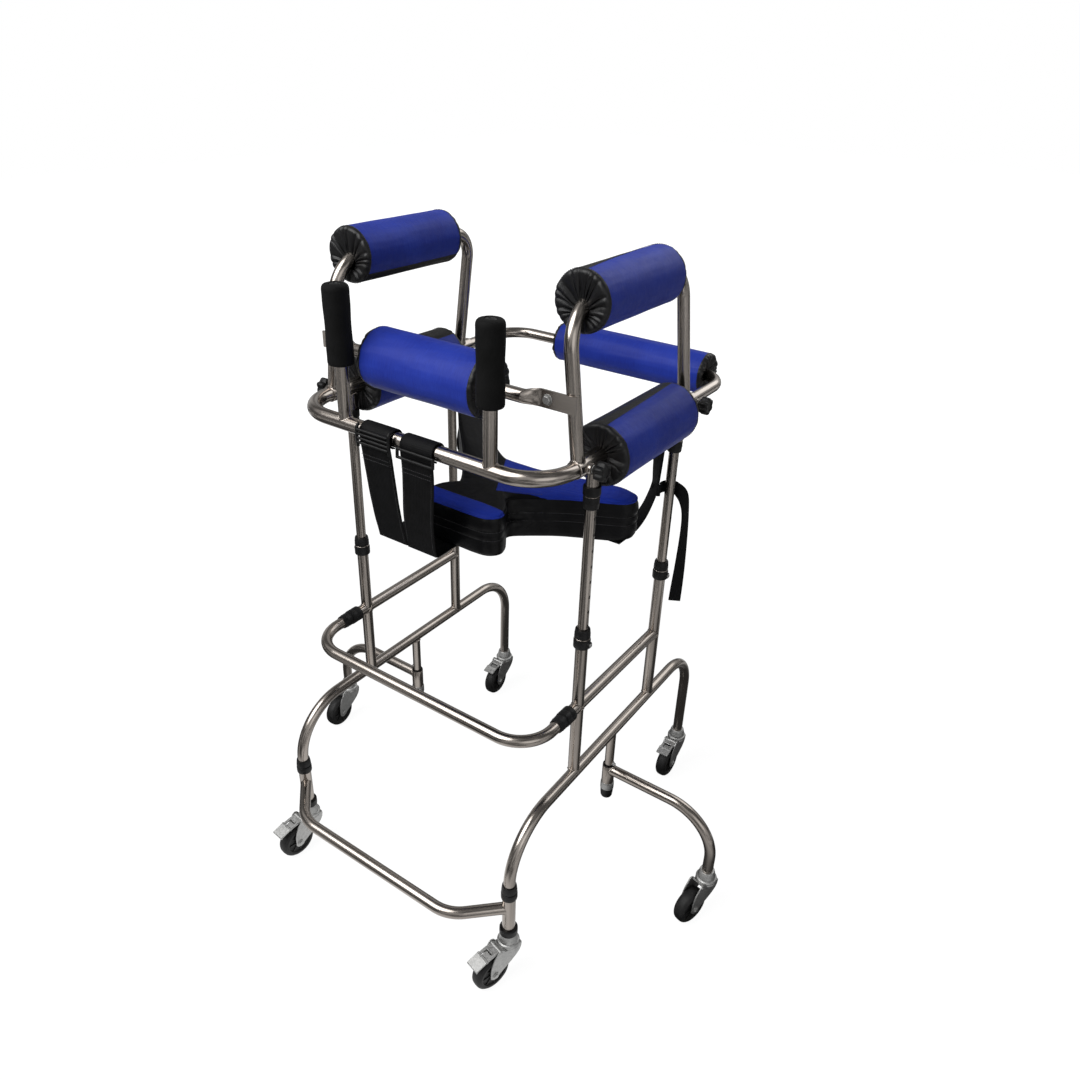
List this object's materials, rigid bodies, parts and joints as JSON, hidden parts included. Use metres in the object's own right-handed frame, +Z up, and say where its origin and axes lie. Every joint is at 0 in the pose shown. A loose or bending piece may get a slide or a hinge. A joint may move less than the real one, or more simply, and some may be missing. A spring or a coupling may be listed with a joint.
{
  "type": "wheeled walking trainer",
  "caption": "Wheeled tubular walking frame with underarm arches, padded rolls, sling seat, upright hand grips and outrigger casters, for learning to walk.",
  "frame": {"origin": "on the floor, under the middle of the four uprights", "axes": "+X to the user's right, +Y to the rear, +Z up"},
  "size_m": [0.9015, 0.7105, 1.0939],
  "materials": {
    "steel_tube": "polished stainless tube, fine scratches along its length",
    "zinc_plate": "bright zinc-plated pressed steel",
    "black_plastic": "moulded black plastic, semi-matt",
    "grip_foam": "closed-cell foam, matt",
    "wheel_rubber": "smooth solid rubber tread",
    "blue_nylon": "coated woven nylon over foam",
    "black_webbing": "woven webbing, ribbed"
  },
  "bodies": {
    "base_frame": {"side_frame_right": "steel_tube", "side_frame_left": "steel_tube", "middle_connector_right": "black_plastic", "middle_connector_left": "black_plastic", "front_leg_collar_right": "black_plastic", "front_leg_collar_left": "black_plastic", "middle_bar": "steel_tube", "front_crossbar": "steel_tube", "upright_collar_front_right": "black_plastic", "upright_collar_front_left": "black_plastic", "upright_collar_rear_right": "black_plastic", "upright_collar_rear_left": "black_plastic"},
    "upper_frame": {"arm_frame_right": "steel_tube", "arm_frame_left": "steel_tube", "chest_bar": "steel_tube", "underarm_roll_right": "blue_nylon", "underarm_roll_left": "blue_nylon", "waist_roll_right": "blue_nylon", "waist_roll_left": "blue_nylon", "chest_roll": "blue_nylon", "seat": "blue_nylon", "rear_strap": "black_webbing", "upper_collar_front_right": "black_plastic", "upper_collar_front_left": "black_plastic", "upper_collar_rear_right": "black_plastic", "upper_collar_rear_left": "black_plastic"},
    "grip_slider": {"grip_bar": "steel_tube", "grip_right": "grip_foam", "grip_left": "grip_foam", "front_strap": "black_webbing"},
    "back_slider": {"back_bar": "steel_tube", "back_roll": "blue_nylon"},
    "outrigger_right": {"outrigger_arm_right": "steel_tube"},
    "stub_button_right": {"outrigger_button_right": "black_plastic"},
    "collar_button_front_right": {"height_button_front_right": "black_plastic"},
    "knob_front_right": {"star_knob_front_right": "black_plastic"},
    "collar_button_rear_right": {"height_button_rear_right": "black_plastic"},
    "knob_rear_right": {"star_knob_rear_right": "black_plastic"},
    "outrigger_left": {"outrigger_arm_left": "steel_tube"},
    "stub_button_left": {"outrigger_button_left": "black_plastic"},
    "collar_button_front_left": {"height_button_front_left": "black_plastic"},
    "knob_front_left": {"star_knob_front_left": "black_plastic"},
    "collar_button_rear_left": {"height_button_rear_left": "black_plastic"},
    "knob_rear_left": {"star_knob_rear_left": "black_plastic"},
    "caster_front_right": {"caster_fork_front_right": "zinc_plate"},
    "caster_wheel_front_right": {"wheel_front_right": "wheel_rubber"},
    "pedal_front_right": {"brake_pedal_front_right": "zinc_plate"},
    "caster_rear_right": {"caster_fork_rear_right": "zinc_plate"},
    "caster_wheel_rear_right": {"wheel_rear_right": "wheel_rubber"},
    "pedal_rear_right": {"brake_pedal_rear_right": "zinc_plate"},
    "caster_outer_right": {"caster_fork_outer_right": "zinc_plate"},
    "caster_wheel_outer_right": {"wheel_outer_right": "wheel_rubber"},
    "caster_front_left": {"caster_fork_front_left": "zinc_plate"},
    "caster_wheel_front_left": {"wheel_front_left": "wheel_rubber"},
    "pedal_front_left": {"brake_pedal_front_left": "zinc_plate"},
    "caster_rear_left": {"caster_fork_rear_left": "zinc_plate"},
    "caster_wheel_rear_left": {"wheel_rear_left": "wheel_rubber"},
    "pedal_rear_left": {"brake_pedal_rear_left": "zinc_plate"},
    "caster_outer_left": {"caster_fork_outer_left": "zinc_plate"},
    "caster_wheel_outer_left": {"wheel_outer_left": "wheel_rubber"}
  },
  "joints": [
    {"name": "height_slide", "type": "slide", "parent": "base_frame", "child": "upper_frame", "axis": [0, 0, 1], "range_m": [-0.185, 0.025]},
    {"name": "grip_bar_slide", "type": "slide", "parent": "upper_frame", "child": "grip_slider", "axis": [0, -1, 0], "range_m": [0, 0.05]},
    {"name": "back_bar_slide", "type": "slide", "parent": "upper_frame", "child": "back_slider", "axis": [0, 1, 0], "range_m": [-0.07, 0.05]},
    {"name": "outrigger_swing_right", "type": "hinge", "parent": "base_frame", "child": "outrigger_right", "pos_m": [0.225, 0, 0.21], "axis": [0, 0, 1], "range_deg": [-90, 90]},
    {"name": "stub_button_press_right", "type": "slide", "parent": "base_frame", "child": "stub_button_right", "axis": [-1, 0, 0], "range_m": [0, 0.0024], "stiffness_N_per_m": 400},
    {"name": "collar_button_press_front_right", "type": "slide", "parent": "base_frame", "child": "collar_button_front_right", "axis": [-1, 0, 0], "range_m": [0, 0.0025], "stiffness_N_per_m": 400},
    {"name": "knob_turn_front_right", "type": "hinge", "parent": "upper_frame", "child": "knob_front_right", "pos_m": [0.2225, -0.148, 0.85], "axis": [1, 0, 0], "range_deg": [0, 540]},
    {"name": "collar_button_press_rear_right", "type": "slide", "parent": "base_frame", "child": "collar_button_rear_right", "axis": [-1, 0, 0], "range_m": [0, 0.0025], "stiffness_N_per_m": 400},
    {"name": "knob_turn_rear_right", "type": "hinge", "parent": "upper_frame", "child": "knob_rear_right", "pos_m": [0.2225, 0.158, 0.85], "axis": [1, 0, 0], "range_deg": [0, 540]},
    {"name": "outrigger_swing_left", "type": "hinge", "parent": "base_frame", "child": "outrigger_left", "pos_m": [-0.225, 0, 0.21], "axis": [0, 0, 1], "range_deg": [-90, 90]},
    {"name": "stub_button_press_left", "type": "slide", "parent": "base_frame", "child": "stub_button_left", "axis": [1, 0, 0], "range_m": [0, 0.0024], "stiffness_N_per_m": 400},
    {"name": "collar_button_press_front_left", "type": "slide", "parent": "base_frame", "child": "collar_button_front_left", "axis": [1, 0, 0], "range_m": [0, 0.0025], "stiffness_N_per_m": 400},
    {"name": "knob_turn_front_left", "type": "hinge", "parent": "upper_frame", "child": "knob_front_left", "pos_m": [-0.2225, -0.148, 0.85], "axis": [-1, 0, 0], "range_deg": [0, 540]},
    {"name": "collar_button_press_rear_left", "type": "slide", "parent": "base_frame", "child": "collar_button_rear_left", "axis": [1, 0, 0], "range_m": [0, 0.0025], "stiffness_N_per_m": 400},
    {"name": "knob_turn_rear_left", "type": "hinge", "parent": "upper_frame", "child": "knob_rear_left", "pos_m": [-0.2225, 0.158, 0.85], "axis": [-1, 0, 0], "range_deg": [0, 540]},
    {"name": "caster_swivel_front_right", "type": "hinge", "parent": "base_frame", "child": "caster_front_right", "pos_m": [0.2285, -0.3, 0.0955], "axis": [0, 0, 1], "continuous": true},
    {"name": "wheel_roll_front_right", "type": "hinge", "parent": "caster_front_right", "child": "caster_wheel_front_right", "pos_m": [0.21931, -0.33429, 0.0325], "axis": [0.9659, -0.2588, 0], "continuous": true},
    {"name": "brake_press_front_right", "type": "hinge", "parent": "caster_front_right", "child": "pedal_front_right", "pos_m": [0.22203, -0.32415, 0.0775], "axis": [0.9659, -0.2588, 0], "range_deg": [0, 20]},
    {"name": "caster_swivel_rear_right", "type": "hinge", "parent": "base_frame", "child": "caster_rear_right", "pos_m": [0.225, 0.295, 0.0955], "axis": [0, 0, 1], "continuous": true},
    {"name": "wheel_roll_rear_right", "type": "hinge", "parent": "caster_rear_right", "child": "caster_wheel_rear_right", "pos_m": [0.225, 0.2595, 0.0325], "axis": [1, 0, 0], "continuous": true},
    {"name": "brake_press_rear_right", "type": "hinge", "parent": "caster_rear_right", "child": "pedal_rear_right", "pos_m": [0.225, 0.27, 0.0775], "axis": [1, 0, 0], "range_deg": [0, 20]},
    {"name": "caster_swivel_outer_right", "type": "hinge", "parent": "outrigger_right", "child": "caster_outer_right", "pos_m": [0.433, 0, 0.0955], "axis": [0, 0, 1], "continuous": true},
    {"name": "wheel_roll_outer_right", "type": "hinge", "parent": "caster_outer_right", "child": "caster_wheel_outer_right", "pos_m": [0.42322, -0.03413, 0.0325], "axis": [0.9613, -0.2756, 0], "continuous": true},
    {"name": "caster_swivel_front_left", "type": "hinge", "parent": "base_frame", "child": "caster_front_left", "pos_m": [-0.2285, -0.3, 0.0955], "axis": [0, 0, 1], "continuous": true},
    {"name": "wheel_roll_front_left", "type": "hinge", "parent": "caster_front_left", "child": "caster_wheel_front_left", "pos_m": [-0.23221, -0.33531, 0.0325], "axis": [0.9945, -0.1045, 0], "continuous": true},
    {"name": "brake_press_front_left", "type": "hinge", "parent": "caster_front_left", "child": "pedal_front_left", "pos_m": [-0.23111, -0.32486, 0.0775], "axis": [0.9945, -0.1045, 0], "range_deg": [0, 20]},
    {"name": "caster_swivel_rear_left", "type": "hinge", "parent": "base_frame", "child": "caster_rear_left", "pos_m": [-0.225, 0.295, 0.0955], "axis": [0, 0, 1], "continuous": true},
    {"name": "wheel_roll_rear_left", "type": "hinge", "parent": "caster_rear_left", "child": "caster_wheel_rear_left", "pos_m": [-0.22314, 0.25955, 0.0325], "axis": [0.9986, 0.0523, 0], "continuous": true},
    {"name": "brake_press_rear_left", "type": "hinge", "parent": "caster_rear_left", "child": "pedal_rear_left", "pos_m": [-0.22369, 0.27003, 0.0775], "axis": [0.9986, 0.0523, 0], "range_deg": [0, 20]},
    {"name": "caster_swivel_outer_left", "type": "hinge", "parent": "outrigger_left", "child": "caster_outer_left", "pos_m": [-0.433, 0, 0.0955], "axis": [0, 0, 1], "continuous": true},
    {"name": "wheel_roll_outer_left", "type": "hinge", "parent": "caster_outer_left", "child": "caster_wheel_outer_left", "pos_m": [-0.43176, -0.03548, 0.0325], "axis": [0.9994, 0.0349, 0], "continuous": true}
  ]
}
